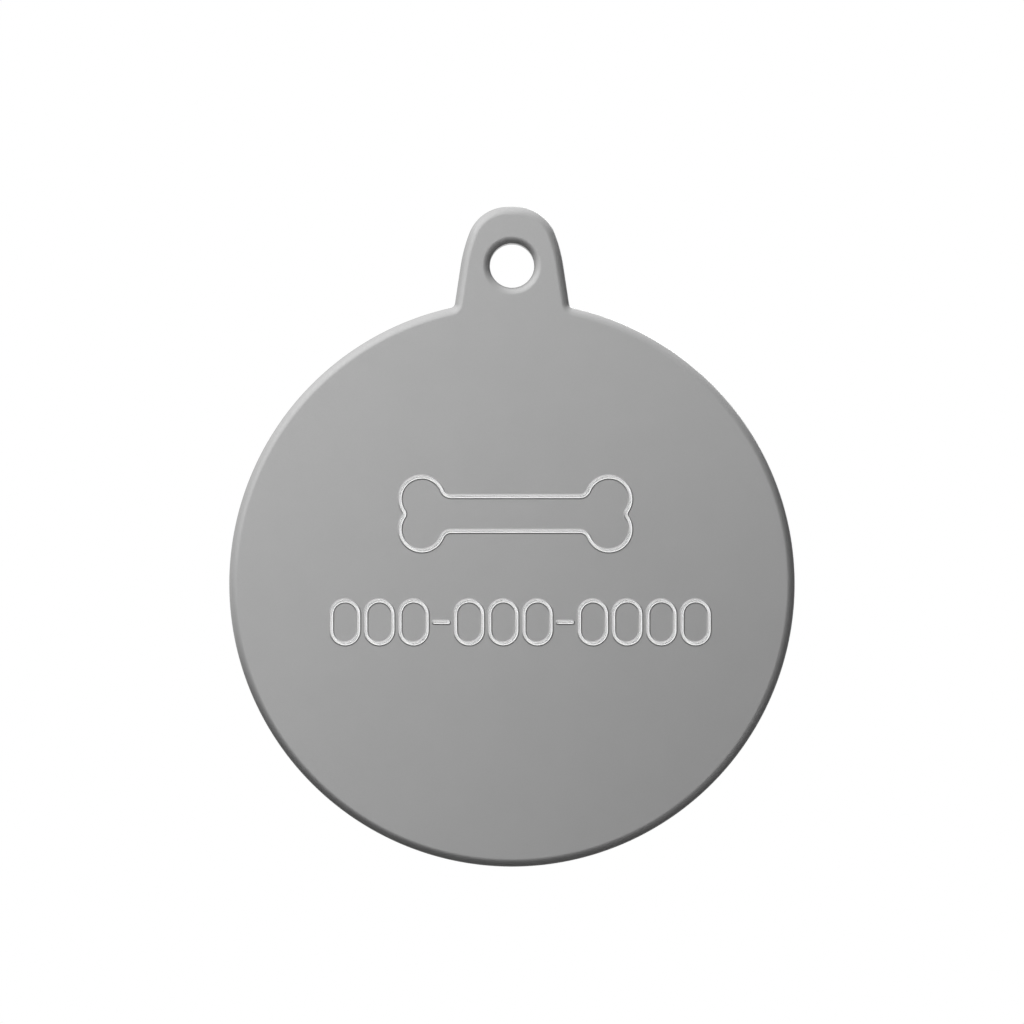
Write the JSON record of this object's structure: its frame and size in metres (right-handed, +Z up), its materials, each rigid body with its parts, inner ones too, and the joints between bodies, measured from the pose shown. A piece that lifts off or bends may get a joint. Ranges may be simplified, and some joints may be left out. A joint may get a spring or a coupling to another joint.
{
  "type": "pet id tag",
  "caption": "Round metal tag with a tapered ear and a ring hole, an engraved back, and a front tray that holds a coated plate under a dome of clear resin.",
  "frame": {"origin": "centre of the ring hole, halfway through the metal", "axes": "+Z up along the tag's height as it hangs, towards the crown of the ear; +Y through the metal, from the engraved back towards the resin front; +X to the right, seen from the back"},
  "size_m": [0.0318, 0.0026, 0.037],
  "materials": {
    "satin_metal": "satin grey metal, very fine grain",
    "film": "translucent pale adhesive film",
    "plate_coat": "satin white coat on thin aluminium, unprinted",
    "clear_resin": "clear cast resin, high gloss"
  },
  "bodies": {
    "root": {"tag_body": "satin_metal", "bonding_film": "film", "face_plate": "plate_coat", "resin_dome": "clear_resin"}
  },
  "joints": []
}
